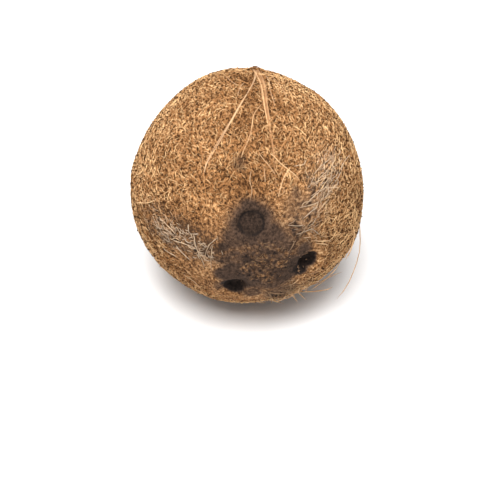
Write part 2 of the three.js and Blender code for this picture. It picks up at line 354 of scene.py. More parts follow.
def eye_relief(direction, eye):
    """How far an eye lifts or sinks the skin, in millimetres."""
    offset, outward = eye_offset(direction, eye)
    distance = np.linalg.norm(offset, axis=-1)
    radius = eye.radius
    if eye is OPEN_EYE:
        dish = OPEN_DISH * (1 - smoothstep(distance, radius * 0.7, radius * 1.1))
        groove = OPEN_GROOVE * bell(distance - radius, OPEN_GROOVE_WIDTH)
        return OPEN_LIP * bell(distance - radius * 1.45, OPEN_LIP_WIDTH) - dish - groove
    from_hole = np.linalg.norm(offset - outward * BLIND_HOLE_SHIFT, axis=-1)
    hole = BLIND_HOLE * (1 - smoothstep(from_hole, radius * 0.35, radius * 1.05))
    ramp = RAMP_DEPTH * (1 - smoothstep(from_ramp_of(direction, eye), 0, RAMP_RADIUS))
    outer_side = smoothstep(offset @ outward, -2, 5)
    lip = BLIND_LIP * bell(from_hole - radius * 1.35, BLIND_LIP_WIDTH) * outer_side
    return lip - hole - ramp


def seam_share(direction, width, start, full, fade, end):
    """How much each place belongs to the seams: 1 on a seam's line, fading to its sides and its ends."""
    polar, turn = polar_of(direction), np.radians(turn_of(direction))
    side = np.hypot(direction[..., 0], direction[..., 2])
    along = smoothstep(polar, start, full) * (1 - smoothstep(polar, fade, end))
    share = np.zeros(direction.shape[:-1])
    for seam_turn in SEAM_TURNS:
        away = turn - math.radians(seam_turn)
        share += np.where(np.cos(away) > 0, along * bell(HALF_WIDTH * side * np.sin(away), width), 0)
    return share


def lumps(direction):
    swells = np.zeros(direction.shape[:-1])
    for polar, turn, rise, width in SWELLS:
        angle = np.arccos(np.clip(direction @ direction_at(polar, turn), -1, 1))
        swells += rise * bell(angle, math.radians(width))
    x, y, z = direction[..., 0], direction[..., 1], direction[..., 2]
    first = np.sin(3.4 * x + 1.6 * y + 0.5) * np.sin(2.9 * z - 2.2 * y + 1.1)
    second = np.sin(5.3 * z + 3.1 * x + 2.0) * np.cos(4.7 * y - 2.6 * x + 0.4)
    return swells + LUMP_RISE * (first + 0.6 * second)


def skin_radius(direction):
    """The skin's distance from the nut's centre in each direction, in millimetres."""
    side = np.hypot(direction[..., 0], direction[..., 2])
    polar = polar_of(direction)
    reach = np.where(direction[..., 1] < 0, EYE_REACH, TIP_REACH)
    oval = 1 / np.hypot(side / HALF_WIDTH, direction[..., 1] / reach)
    tip = TIP_RISE * bell(np.radians(180 - polar) * TIP_REACH, TIP_WIDTH)
    scar = SCAR_DEPTH * bell(np.radians(polar) * EYE_REACH, SCAR_WIDTH)
    eyes = sum(eye_relief(direction, eye) for eye in EYES)
    turn = np.radians(turn_of(direction))
    corners = CORNER_RISE * side**2 * np.cos(3 * (turn - math.radians(SEAM_TURNS[0])))
    seams = SEAM_RISE * seam_share(direction, *SEAM_RIDGE)
    return oval + tip - scar + eyes + corners + seams + lumps(direction)


REST_HEIGHT = float(skin_radius(direction_at(RESTING["polar"], RESTING["turn"]))) - FLAT_DEPTH
NUT_CENTRE = np.array([*NUT_PLACE, REST_HEIGHT])


def unit(vectors):
    return vectors / np.linalg.norm(vectors, axis=-1, keepdims=True)


def knot_rise(direction):
    """How far the crown knot lifts what lies over it, in millimetres."""
    away = np.linalg.norm(direction - direction_at(*KNOT_PLACE), axis=-1) * HALF_WIDTH
    return KNOT_RISE * bell(away, KNOT_WIDTH / 2)


def on_skin(place, lift):
    """Points in line with the places, lifted off the skin, in millimetres from the nut's centre."""
    direction = unit(np.asarray(place, float))
    return direction * (skin_radius(direction) + knot_rise(direction) + lift)[..., None]


def in_place(points, clearance=0.0):
    """Millimetres from the nut's centre to metres in the row's frame, kept above the floor."""
    placed = points + NUT_CENTRE
    placed[..., 2] = np.maximum(placed[..., 2], clearance)
    return placed * MM


# How the skin looks from place to place
def eye_distance(direction):
    """Millimetres from the middle of the nearest eye."""
    return np.min([np.linalg.norm(eye_offset(direction, eye)[0], axis=-1) for eye in EYES], axis=0)


def waviness(direction, scale, salt):
    """A slow uneven value, mostly between -1 and 1. A larger scale makes it quicker, and salt shifts it."""
    x, y, z = (direction[..., axis] * scale for axis in range(3))
    first = np.sin(x + 1.7 * y + salt) * np.cos(1.3 * z - 0.8 * y + 2 * salt)
    second = np.sin(2.3 * z - 1.1 * x + 3 * salt) * np.cos(1.9 * y + 0.7 * z + salt)
    return first + 0.6 * second


def patch(direction, polar, turn, radius, soft, ragged):
    """1 inside a round patch of the skin, and 0 from its radius on. soft is the share of it that fades."""
    away = np.linalg.norm(direction - direction_at(polar, turn), axis=-1) * HALF_WIDTH
    return 1 - smoothstep(away + ragged, radius * (1 - soft), radius)


def from_pit(direction, eye):
    """Millimetres from a blind eye's hole, and how far outward of the eye's middle each place is."""
    offset, outward = eye_offset(direction, eye)
    return np.linalg.norm(offset - outward * BLIND_HOLE_SHIFT, axis=-1), offset @ outward


def pit_stain(direction, eye, ragged):
    """The black of a blind eye: sharp at its outer edge and soft on the side of its ramp."""
    away, out = from_pit(direction, eye)
    edge = away + 0.25 * ragged
    radius = eye.radius
    inner = 1 - smoothstep(out, -0.7 * radius, 0.4 * radius)
    crisp = 1 - smoothstep(edge, radius * 0.74, radius * 0.9)
    faded = 1 - smoothstep(edge, radius * 0.4, radius * 1.1)
    return crisp + (0.98 * faded - crisp) * inner


def rim_share(direction):
    """The thin pale rim along the outer side of the blind eye on the right."""
    radius = RIGHT_EYE.radius
    away, out = from_pit(direction, RIGHT_EYE)
    return bell(away - 1.02 * radius, 0.5) * smoothstep(out, 0.1 * radius, 0.6 * radius)


def rough_share(direction):
    """How much of each place is the rough scar between the eyes."""
    polar = polar_of(direction) + 2.5 * waviness(direction, 11, 1.5)
    return (1 - smoothstep(polar, 9, 18)) * smoothstep(eye_distance(direction), 7.5, 10.5)


def frayed_share(direction):
    """How frayed each place is, and so how much dirt and painted shade darken its pits: the seams beside the
    eyes.
    """
    return seam_share(direction, *SEAM_FRAYING)


def nearest_cell(places, cell):
    """Millimetres from each place to the nearest of a scatter of points, one in each cell of this size."""
    scaled = places / cell
    base = np.floor(scaled)
    nearest = np.full(places.shape[:-1], np.inf)
    for step in itertools.product((-1, 0, 1), repeat=3):
        corner = base + step
        waves = np.stack([corner @ np.array(way) for way in SCATTER_WAYS], -1)
        drawn = np.sin(waves) * SCATTER_GAIN
        point = corner + drawn - np.floor(drawn)
        nearest = np.minimum(nearest, np.linalg.norm(scaled - point, axis=-1))
    return nearest * cell


def specks(places, cell, width, shift):
    """Small specks scattered over the places, 1 in the middle of each."""
    return bell(nearest_cell(places + shift, cell), width)


def soot_stain(direction, ragged):
    """The grey brown of the eye end, which reaches furthest along the seams, and the patches in it."""
    towards_seam = np.cos(3 * np.radians(turn_of(direction) - SEAM_TURNS[0]))
    edge = polar_of(direction) + 1.5 * ragged - 3.5 * towards_seam
    stain = SOOT * (1 - smoothstep(edge, SOOT_FROM, SOOT_TO))
    for polar, turn, radius, soft, amount in STAINS:
        spot = amount * patch(direction, polar, turn, radius, soft, 0.6 * ragged) ** 0.8
        stain = np.maximum(stain, spot)
    return stain


def open_eye_stain(direction, ragged):
    """The dark disc of the open eye, with an uneven darker ring of painted shade in its groove."""
    radius = OPEN_EYE.radius
    distance = np.linalg.norm(eye_offset(direction, OPEN_EYE)[0], axis=-1)
    ring = 0.16 * bell(distance - radius * 0.98, 0.75) * (0.75 + 0.4 * waviness(direction, 45, 4.0))
    return (0.89 + ring) * (1 - smoothstep(distance + 0.35 * ragged, radius, radius * 1.5))


def stain_at(direction):
    """The stain of the eye end: about 0.7 where it is grey brown, and 1 in the black of the blind eyes."""
    ragged = 1.1 * waviness(direction, 13, 2.0) + 0.7 * waviness(direction, 31, 5.0)
    stain = soot_stain(direction, ragged)

    places = direction * HALF_WIDTH
    rough = rough_share(direction)
    bright = np.clip(0.42 + 0.4 * waviness(direction, 23, 2.5), 0, 0.9) * specks(places, **TAN_SPECKS)
    stain = stain * (1 - rough * (0.05 + bright)) + 0.4 * rough * specks(places, **BLACK_SPECKS)

    stain = np.maximum(stain, open_eye_stain(direction, ragged))
    stain = stain * (1 - 0.5 * rim_share(direction))
    for eye in (RIGHT_EYE, LOWER_EYE):
        stain = np.maximum(stain, pit_stain(direction, eye, ragged))
    polar = polar_of(direction) + 3 * waviness(direction, 9, 4.0)
    grime = GRIME * (1 - smoothstep(polar, GRIME_FROM, GRIME_TO))
    return np.clip(np.maximum(stain, grime), 0, 1)


def bleach_at(direction):
    """Where the fibres are bleached grey: along the seams, from beside the eyes to half way up the nut."""
    seams = seam_share(direction, *SEAM_BLEACH)
    return np.clip(seams * (0.6 + 0.4 * waviness(direction, 17, 1.0)), 0, 1)


def bare_share(direction):
    """How much of the felt has worn off: all at the eye end, and less on the right than on the left."""
    polar = polar_of(direction) + WORN_ASIDE * np.cos(np.radians(turn_of(direction) - WORN_TURN))
    worn = 0.9 * patch(direction, **WORN_PATCH, ragged=2 * waviness(direction, 9, 3.0))
    return np.maximum(1 - smoothstep(polar, WORN_FROM, WORN_TO), worn)


def pits_at(direction):
    """The small dark pits between tufts of felt, longer along the nut. The eye end has few. Their dark in the
    tone is painted shade.
    """
    places = direction * HALF_WIDTH * np.array([1.0, PIT_SQUEEZE, 1.0])
    pits = np.maximum(specks(places, **LARGE_PITS), 0.7 * specks(places, **SMALL_PITS))
    many = 0.2 + 0.8 * smoothstep(polar_of(direction), 26, 46)
    crown = 0.55 * patch(direction, **TORN_CROWN, ragged=3 * waviness(direction, 9, 2.0))
    torn = specks(places, **TORN_PITS) * np.maximum(1.3 * frayed_share(direction), crown)
    return np.maximum(pits * many, torn)


def tone_and_painted_shade_at(direction):
    """Broad differences of tone over the nut, some of them painted shade."""
    shade = 0.05 * waviness(direction, 7, 6.0)
    for polar, turn, width, amount in TONE_AND_PAINTED_SHADE:
        angle = np.degrees(np.arccos(np.clip(direction @ direction_at(polar, turn), -1, 1)))
        shade = shade + amount * bell(angle, width)
    return shade


def fibre_density(direction):
    """The share of the felt that is left: none in the eyes, and thinner all over the eye end."""
    clear_of_eyes = smoothstep(eye_distance(direction), 8.0, 14.0)
    left = 1 - 0.84 * bare_share(direction)
    return clear_of_eyes * np.maximum(left, 0.6 * rough_share(direction))


# Meshes
def finish_mesh(mesh, look, material):
    """Writes the look on the mesh's points, and gives it its material and smooth shading."""
    attribute = mesh.color_attributes.new("look", "FLOAT_COLOR", "POINT")
    attribute.data.foreach_set("color", look.astype(np.float32).ravel())
    mesh.materials.clear()
    mesh.materials.append(material)
    mesh.polygons.foreach_set("use_smooth", np.ones(len(mesh.polygons), bool))
    mesh.update()


def set_on_coconut(piece):
    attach(piece, BODY)
    return piece


def look_of(tone, stain, bleach):
    """Tone, stain and bleach side by side, as the materials read them."""
    tone, stain, bleach = np.broadcast_arrays(tone, stain, bleach)
    return np.clip(np.stack([tone, stain, bleach, np.ones_like(tone)], -1), 0, 1)


def tube_pattern(places, sides):
    """One tapering fibre's triangles: a point, rings of corners, and a point. Also where each corner of
    each triangle lies on the fibre: round it and along it, from 0 to 1."""
    rings = places - 2
    tip = 1 + rings * sides
    triangles, spots = [], []

    def corner(ring, side):
        return 1 + ring * sides + side % sides

    for side in range(sides):
        low, high = side / sides, (side + 1) / sides
        triangles.append((0, corner(0, side + 1), corner(0, side)))
        spots.append(((low + high) / 2, 0, high, 1 / (places - 1), low, 1 / (places - 1)))
        for ring in range(rings - 1):
            near, far = (ring + 1) / (places - 1), (ring + 2) / (places - 1)
            a, b = corner(ring, side), corner(ring, side + 1)
            c, d = corner(ring + 1, side + 1), corner(ring + 1, side)
            triangles += [(a, b, c), (a, c, d)]
            spots += [(low, near, high, near, high, far), (low, near, high, far, low, far)]
        last = 1 - 1 / (places - 1)
        triangles.append((corner(rings - 1, side), corner(rings - 1, side + 1), tip))
        spots.append((low, last, high, last, (low + high) / 2, 1))
    return np.array(triangles), np.array(spots).reshape(-1, 3, 2)


def tube_points(paths, radii, sides):
    """The corners of each fibre along paths (fibres, places, 3), as thick as radii (fibres, places) say."""
    along = unit(np.gradient(paths, axis=1))
    outward = unit(paths)
    across = unit(np.cross(along, outward))
    above = np.cross(across, along)
    turns = 2 * math.pi * np.arange(sides) / sides + math.pi / 2
    ring = across[:, 1:-1, None] * np.cos(turns)[:, None] + above[:, 1:-1, None] * np.sin(turns)[:, None]
    rings = paths[:, 1:-1, None] + ring * radii[:, 1:-1, None, None]
    count = len(paths)
    return np.concatenate([paths[:, :1], rings.reshape(count, -1, 3), paths[:, -1:]], axis=1)


def fibre_piece(name, paths, radii, look, material, sides=3):
    """One mesh of many closed, tapering fibres. paths are in millimetres from the nut's centre, and look is
    per fibre and place. Its map gives every fibre a small square of its own."""
    count, places = paths.shape[:2]
    points = in_place(tube_points(paths, radii, sides), clearance=0.05)
    per_fibre = points.shape[1]
    triangles, spots = tube_pattern(places, sides)
    corners = (triangles[None] + per_fibre * np.arange(count)[:, None, None]).reshape(-1)

    mesh = bpy.data.meshes.new(name)
    mesh.vertices.add(count * per_fibre)
    mesh.vertices.foreach_set("co", points.astype(np.float32).ravel())
    mesh.loops.add(len(corners))
    mesh.loops.foreach_set("vertex_index", corners.astype(np.int32))
    mesh.polygons.add(len(corners) // 3)
    mesh.polygons.foreach_set("loop_start", np.arange(0, len(corners), 3, dtype=np.int32))
    mesh.update(calc_edges=True)

    across = math.ceil(math.sqrt(count))
    square = np.stack([np.arange(count) % across, np.arange(count) // across], -1)
    uv = (square[:, None, None] + 0.1 + 0.8 * spots[None]) / across
    mesh.uv_layers.new(name="OFBake").uv.foreach_set("vector", uv.astype(np.float32).ravel())

    share = np.concatenate([[0], np.repeat(np.arange(1, places - 1), sides), [places - 1]])
    finish_mesh(mesh, look[:, share], material)
    piece = bpy.data.objects.new(name, mesh)
    bpy.context.scene.collection.objects.link(piece)
    return set_on_coconut(piece)


# Fibres
def curly_fibres(rng, centres, heading, length, bend, wiggle, places):
    """Paths that lie along the skin through the centres: a bent line with a wave in it for each fibre."""
    share = np.linspace(-0.5, 0.5, places)[None]
    phase = rng.uniform(0, 2 * math.pi, (len(centres), 1))
    way = heading[:, None] + bend[:, None] * share + wiggle[:, None] * np.sin(7.0 * share + phase)
    step = (length / (places - 1))[:, None]
    down = np.cumsum(np.cos(way) * step, axis=1)
    round_ = np.cumsum(np.sin(way) * step, axis=1)
    down, round_ = (run - run.mean(axis=1, keepdims=True) for run in (down, round_))
    polar, turn = polar_of(centres), turn_of(centres)
    to_tip = direction_at(polar + 90, turn)
    to_side = direction_at(90.0, turn + 90)
    moved = down[..., None] * to_tip[:, None] + round_[..., None] * to_side[:, None]
    return unit(centres[:, None] + moved / HALF_WIDTH)


def felt_centres(rng, count):
    """Evenly scattered middles for the felt's fibres, fewer where it is worn, and which are a seventh."""
    index = np.arange(count) + 0.5
    polar = np.degrees(np.arccos(1 - 2 * index / count)) + rng.normal(0, 0.5, count)
    turn = np.degrees(index * math.pi * (3 - math.sqrt(5))) + rng.normal(0, 0.5, count)
    centres = direction_at(np.clip(polar, 1, 179), turn)
    kept = rng.random(count) < fibre_density(centres)
    seventh = np.arange(count) % 7 == 0
    return centres[kept], seventh[kept]


def felt(rng, count, length, thickness):
    """The felt of short fibres all over the nut: paths, thicknesses and looks."""
    centres, seventh = felt_centres(rng, count)
    number = len(centres)
    bare = bare_share(centres)
    rough = rough_share(centres)
    seam = seam_share(centres, *SEAM_COMBING)
    spread = np.radians(42 - 6 * bare + 40 * rough) * (1 - 0.4 * seam)
    heading = rng.normal(0, 1, number) * spread + np.radians(12) * waviness(centres, 7, 3.0)

    # Painted shade: every seventh fibre and some more along the seams are dark slots between the rest, which
    # stand in for the shaded gaps between fibres
    more_shade_slots = 0.03 + 0.12 * seam * (1 - smoothstep(polar_of(centres), 50, 70))
    shade_slot = seventh | (rng.random(number) < more_shade_slots)
    shade_plug = shade_slot & (rng.random(number) < SHADE_PLUG_SHARE) & (bare < 0.5)
    long = ~shade_slot & (rng.random(number) < LONG_SHARE)
    kinds = [shade_plug, shade_slot, long]
    lengths = length * rng.uniform(0.5, 1.5, number) * (1 - 0.5 * bare)
    lengths = lengths * np.select(kinds, KIND_LENGTHS, 1.0)
    bend = rng.normal(0, 0.9, number)
    wiggle = rng.uniform(0.1, 0.6, number)
    paths = curly_fibres(rng, centres, heading, lengths, bend, wiggle, FELT_PLACES)

    # Each fibre arches over its neighbours at its own depth, and a few stand loose at one end
    share = np.linspace(-1, 1, FELT_PLACES)[None]
    depth = rng.random(number)
    depth = np.where(shade_slot | long, 0.8 + 0.2 * depth, depth)
    pits = pits_at(paths)
    arch = rng.uniform(0.05, 0.35, number) * (1 - 0.6 * bare)
    sunk = (-0.6 + 0.8 * depth) * (1 - 0.6 * bare)
    lift = sunk[:, None] + arch[:, None] * (1 - share**2) - 1.0 * pits
    is_loose = rng.random(number) < LOOSE_SHARE
    loose = np.where(is_loose, rng.uniform(0.4, 1.4, number) * (1 - 0.8 * bare), 0)
    lift = lift + loose[:, None] * smoothstep(share, 0, 1)
    paths = on_skin(paths, lift)

    # Painted shade: deep fibres, the sunken ends of each fibre and the pits are darker than those on top, and
    # the dark slots are the darkest
    girth = rng.uniform(0.65, 1.25, number) * (1 - 0.3 * bare) * np.select(kinds, KIND_GIRTHS, 1.0)
    radii = np.broadcast_to(thickness / 2 * girth[:, None], (number, FELT_PLACES))
    bleach = bleach_at(centres) * np.where(rng.random(number) < 0.4, 1.2, 0.3)
    tone = rng.normal(0.66, 0.05, number) - 0.45 * (1 - depth) ** 3 + tone_and_painted_shade_at(centres)
    tone = tone + 0.15 * bleach - 0.07 * bare
    tone = tone + np.where(long, rng.uniform(0.0, 0.28, number), 0.0)
    tone = np.where(shade_slot, rng.uniform(-0.4, 0.02, number), tone)
    tone = tone[:, None] - 0.08 * share**2 - 0.75 * pits
    clean = 1 - rough * rng.uniform(-0.3, 0.6, number)
    # Dirt and painted shade darken the torn pits along the seams
    pit_dirt_and_shade = 0.7 * pits * frayed_share(centres)[:, None]
    stain = clean[:, None] * stain_at(unit(paths)) + pit_dirt_and_shade
    look = look_of(tone, stain, np.clip(bleach, 0, 1)[:, None])
    return paths, radii, look


def draw(index, purpose):
    """A repeatable draw between 0 and 1, the same as the solid's."""
    wave = math.sin(index * 12.9898 + purpose * 78.233) * SCATTER_GAIN
    return wave - math.floor(wave)


def route_through(polar, turn, heading, length, bend):
    route = []
    for i in range(4):
        share = i / 3 - 0.5
        way = math.radians(heading + bend * share)
        arc = math.degrees(length * share / HALF_WIDTH)
        there = polar + arc * math.cos(way)
        route.append((there, turn + arc * math.sin(way) / math.sin(math.radians(there))))
    return route


def scattered(count, shortest, longest, heading, bend, salt):
    """The routes of the fibres that the solid scatters over the nut."""
    golden = 180 * (3 - math.sqrt(5))
    resting = direction_at(RESTING["polar"], RESTING["turn"])
    routes = []
    for i in range(count):
        polar = math.degrees(math.acos(1 - (2 * i + 1) / count))
        length = shortest + (longest - shortest) * draw(i, salt + 1)
        away = heading * (2 * draw(i, salt + 2) - 1)
        route = route_through(polar, golden * i + salt, away, length, bend * (2 * draw(i, salt + 3) - 1))
        clear = all(
            BARE_TO < p < 172 and direction_at(p, t) @ resting < math.cos(math.radians(RESTING["clear"]))
            for p, t in route
        )
        if clear:
            routes.append(route)
    return routes


def tip_routes():
    """The routes of the fibres that gather at the far tip."""
    routes = []
    for i in range(TIP_FIBRES["count"]):
        turn = 360 / TIP_FIBRES["count"] * i + 25 * draw(i, 9)
        reach = TIP_FIBRES["to"] + 16 * draw(i, 10)
        start, swirl = TIP_FIBRES["from"], TIP_FIBRES["swirl"]
        half_way = ((start + reach) / 2, turn + swirl / 2)
        routes.append([(start, turn), (start - 8, turn + 2), half_way, (reach, turn + swirl)])
    return routes


def smooth_line(knots, places):
    """Evenly spaced places on a smooth curve through the knots."""
    ends = np.concatenate([[2 * knots[0] - knots[1]], knots, [2 * knots[-1] - knots[-2]]])
    dense = []
    for a, b, c, d in zip(ends, ends[1:], ends[2:], ends[3:]):
        t = np.linspace(0, 1, 24, endpoint=False)[:, None]
        square = (2 * a - 5 * b + 4 * c - d) * t**2
        cube = (3 * (b - c) + d - a) * t**3
        dense.append(0.5 * (2 * b + (c - a) * t + square + cube))
    line = np.concatenate([*dense, knots[-1:]])
    run = np.concatenate([[0], np.cumsum(np.linalg.norm(np.diff(line, axis=0), axis=1))])
    even = np.linspace(0, run[-1], places)
    return np.stack([np.interp(even, run, line[:, axis]) for axis in range(3)], -1)


def strand_line(route, places, tail_lift=-ROOT_SINK):
    """A strand's middle line. It runs on into the skin at its root, and at its tail unless that is lifted."""
    route = np.array(route, float)
    knots = on_skin(direction_at(route[:, 0], route[:, 1]), np.full(len(route), FIBRE_LIFT))
    root = knots[0] + unit(knots[0] - knots[1]) * ROOT_RUN
    tail = knots[-1] + unit(knots[-1] - knots[-2]) * ROOT_RUN
    ends = on_skin(np.stack([root, tail]), np.array([-ROOT_SINK, tail_lift]))
    return smooth_line(np.concatenate([ends[:1], knots, ends[1:]]), places)


def plied(rng, line, plies, spread, wander=0.25):
    """Several fibres that wind loosely round one line."""
    places = len(line)
    along = unit(np.gradient(line, axis=0))
    across = unit(np.cross(along, unit(line)))
    above = np.cross(across, along)
    share = np.linspace(0, 1, places)
    fibres = []
    for ply in range(plies):
        angle = 2 * math.pi * (ply / plies + 1.3 * share * rng.uniform(0.6, 1.4)) + rng.uniform(0, 6)
        wave = wander * np.sin(rng.uniform(4, 9) * share + rng.uniform(0, 6))
        reach = spread * (0.7 + 0.3 * np.sin(9 * share + ply))
        side = (np.cos(angle) * reach + wave)[:, None] * across
        fibres.append(line + side + (np.sin(angle) * reach * 0.6)[:, None] * above)
    return np.array(fibres)


def ribbon(rng, line, reaches, width, places):
    """Fibres side by side on one line, as a flat band that narrows. reaches are shares of its length."""
    across = unit(np.cross(unit(np.gradient(line, axis=0)), unit(line)))
    share = np.linspace(0, 1, len(line))
    fibres = []
    for ply, reach in enumerate(reaches):
        place = (ply / (len(reaches) - 1) - 0.5) * width * (1 - 0.6 * share)
        wave = 0.14 * np.sin(rng.uniform(9, 20) * share + rng.uniform(0, 6))
        fibre = line + (place + wave)[:, None] * across
        mine = np.linspace(0, reach, places)
        fibres.append(np.stack([np.interp(mine, share, fibre[:, axis]) for axis in range(3)], -1))
    return np.array(fibres)


def taper(paths, thickness, rng):
    """Radii that thin towards both ends."""
    share = np.linspace(-1, 1, paths.shape[1])[None]
    return thickness / 2 * rng.uniform(0.8, 1.2, (len(paths), 1)) * (1 - 0.55 * share**6)


def strand_looks(paths, tone, rng, bleach=None, uneven=0.05):
    """The look of each strand from where it lies."""
    direction = unit(paths)
    tones = tone + rng.normal(0, uneven, (len(paths), 1)) - 0.16 * knot_rise(direction)
    whitened = bleach_at(direction) if bleach is None else bleach * rng.uniform(0.4, 1.4, (len(paths), 1))
    return look_of(tones, 0.8 * stain_at(direction), whitened)


def brushed_hairs(rng, count, middle, spread, heading, length, lift):
    """Loose hairs round one place: paths that start in the felt and end clear of it. middle and spread are
    polar and turn degrees, heading and its spread are degrees off the long axis."""
    polar = rng.normal(middle[0], spread[0], count)
    turn = rng.normal(middle[1], spread[1], count)
    centres = direction_at(polar, turn)
    way = np.radians(rng.normal(heading[0], heading[1], count))
    lengths = rng.uniform(length[0], length[1], count)
    bend = rng.normal(0, 0.9, count)
    paths = curly_fibres(rng, centres, way, lengths, bend, rng.uniform(0.1, 0.5, count), HAIR_PLACES)
    share = np.linspace(0, 1, HAIR_PLACES)[None]
    rise = rng.uniform(lift[0], lift[1], (count, 1)) * share**1.6
    return on_skin(paths, -0.3 + 0.6 * np.sin(math.pi * share) + rise)


# Materials
COIR_COLOURS = ("Dark", "Middle", "Pale", "Bleached", "Stained", "Blackest")


def add_node(tree, kind, **values):
    node = tree.nodes.new(kind)
    for name, value in values.items():
        setattr(node, name, value)
    return node


def new_group(name, inputs, outputs):
    """A shader node group with float and colour sockets, and its input and output nodes."""
    group = bpy.data.node_groups.new(name, "ShaderNodeTree")
    for in_out, sockets in (("INPUT", inputs), ("OUTPUT", outputs)):
        for socket, default in sockets.items():
            kind = "NodeSocketColor" if isinstance(default, tuple) else "NodeSocketFloat"
            made = group.interface.new_socket(name=socket, in_out=in_out, socket_type=kind)
            if in_out == "INPUT":
                made.default_value = (*default, 1) if isinstance(default, tuple) else default
    return group, group.nodes.new("NodeGroupInput"), group.nodes.new("NodeGroupOutput")


def blend_colours(tree, factor, first, second, kind="MIX"):
    """A colour mix of two sockets by a factor socket, and its result."""
    mix = add_node(tree, "ShaderNodeMix", data_type="RGBA", blend_type=kind)
    colours = [socket for socket in mix.inputs if socket.type == "RGBA"]
    for source, target in ((factor, mix.inputs["Factor"]), (first, colours[0]), (second, colours[1])):
        if isinstance(source, (float, int)):
            target.default_value = source
        elif isinstance(source, tuple):
            target.default_value = (*source, 1)
        else:
            tree.links.new(source, target)
    return next(socket for socket in mix.outputs if socket.type == "RGBA")


def arithmetic(tree, operation, *values, clamp=False):
    """One Math node on sockets or numbers, and its result."""
    node = add_node(tree, "ShaderNodeMath", operation=operation, use_clamp=clamp)
    for value, target in zip(values, node.inputs):
        if isinstance(value, (float, int)):
            target.default_value = value
        else:
            tree.links.new(value, target)
    return node.outputs[0]


def coir_colour_group():
    """Colour of coir from its tone, how bleached it is, and how stained."""
    masks = {"Tone": 0.5, "Bleach": 0.0, "Stain": 0.0}
    colours = {name: (0.5, 0.5, 0.5) for name in COIR_COLOURS}
    group, inputs, outputs = new_group("Coir colour", masks | colours, {"Color": (0, 0, 0)})
    tone = inputs.outputs["Tone"]
    # Dark to middling over the lower half of the tone, and on to pale over the upper
    low = arithmetic(group, "MULTIPLY", tone, 2.0, clamp=True)
    high = arithmetic(group, "MULTIPLY_ADD", tone, 2.0, -1.0, clamp=True)
    body = blend_colours(group, low, inputs.outputs["Dark"], inputs.outputs["Middle"])
    body = blend_colours(group, high, body, inputs.outputs["Pale"])
    # Bleached coir keeps less of its tone
    light = arithmetic(group, "MULTIPLY_ADD", tone, 0.7, 0.35, clamp=True)
    bleached = blend_colours(group, light, inputs.outputs["Dark"], inputs.outputs["Bleached"])
    body = blend_colours(group, inputs.outputs["Bleach"], body, bleached)
    # The stain covers the coir, and turns black only near its full strength
    blackened = arithmetic(group, "MULTIPLY_ADD", inputs.outputs["Stain"], 3.6, -2.6, clamp=True)
    stain_colour = blend_colours(group, blackened, inputs.outputs["Stained"], inputs.outputs["Blackest"])
    shade = arithmetic(group, "MULTIPLY_ADD", tone, 1.3, 0.35)
    stained = add_node(group, "ShaderNodeVectorMath", operation="SCALE")
    group.links.new(stain_colour, stained.inputs[0])
    group.links.new(shade, stained.inputs["Scale"])
    covered = arithmetic(group, "MULTIPLY", inputs.outputs["Stain"], 1.35, clamp=True)
    body = blend_colours(group, covered, body, stained.outputs[0])
    group.links.new(body, outputs.inputs["Color"])
    return group


def fibre_grain_group():
    """Fine uneven grain: a mask from 0 to 1 and a height, from noise at two sizes."""
    group, inputs, outputs = new_group("Fibre grain", {"Size": 1.0}, {"Mask": 0.0, "Height": 0.0})
    place = add_node(group, "ShaderNodeTexCoord").outputs["Object"]
    per_size = arithmetic(group, "DIVIDE", 1000.0, inputs.outputs["Size"])
    masks = []
    for detail, share in ((3.0, 1.0), (1.0, 0.37)):
        texture = add_node(group, "ShaderNodeTexNoise")
        texture.inputs["Detail"].default_value = detail
        group.links.new(place, texture.inputs["Vector"])
        group.links.new(arithmetic(group, "MULTIPLY", per_size, share), texture.inputs["Scale"])
        masks.append(texture.outputs["Fac"])
    both = arithmetic(group, "ADD", masks[0], masks[1])
    mask = arithmetic(group, "MULTIPLY_ADD", both, 2.2, -1.7, clamp=True)
    group.links.new(mask, outputs.inputs["Mask"])
    group.links.new(both, outputs.inputs["Height"])
    return group


def coir_material(name, settings, grain_size, grain_share, bump, roughness):
    """Matt coir. Tone, stain and bleach come from the mesh's look attribute, and grain breaks them up."""
    material = bpy.data.materials.new(name)
    material.use_nodes = True
    tree = material.node_tree
    shader = tree.nodes["Principled BSDF"]
    shader.inputs["Roughness"].default_value = roughness
    shader.inputs["Specular IOR Level"].default_value = 0.1
    look = add_node(tree, "ShaderNodeAttribute", attribute_name="look")
    split = add_node(tree, "ShaderNodeSeparateColor")
    tree.links.new(look.outputs["Color"], split.inputs[0])
    grain = add_node(tree, "ShaderNodeGroup", node_tree=shared_group("Fibre grain", fibre_grain_group))
    grain.inputs["Size"].default_value = grain_size
    uneven = arithmetic(tree, "MULTIPLY_ADD", grain.outputs["Mask"], grain_share, -grain_share / 2)
    tone = arithmetic(tree, "ADD", split.outputs["Red"], uneven, clamp=True)
    colour = add_node(tree, "ShaderNodeGroup", node_tree=shared_group("Coir colour", coir_colour_group))
    for socket in COIR_COLOURS:
        colour.inputs[socket].default_value = (*getattr(settings, socket.lower()), 1)
    tree.links.new(tone, colour.inputs["Tone"])
    tree.links.new(split.outputs["Green"], colour.inputs["Stain"])
    tree.links.new(split.outputs["Blue"], colour.inputs["Bleach"])
    tree.links.new(colour.outputs["Color"], shader.inputs["Base Color"])
    if bump:
        bumps = add_node(tree, "ShaderNodeBump")
        bumps.inputs["Strength"].default_value = 0.6
        bumps.inputs["Distance"].default_value = bump * MM
        tree.links.new(grain.outputs["Height"], bumps.inputs["Height"])
        tree.links.new(bumps.outputs["Normal"], shader.inputs["Normal"])
    return material


def shared_group(name, build):
    return bpy.data.node_groups.get(name) or build()


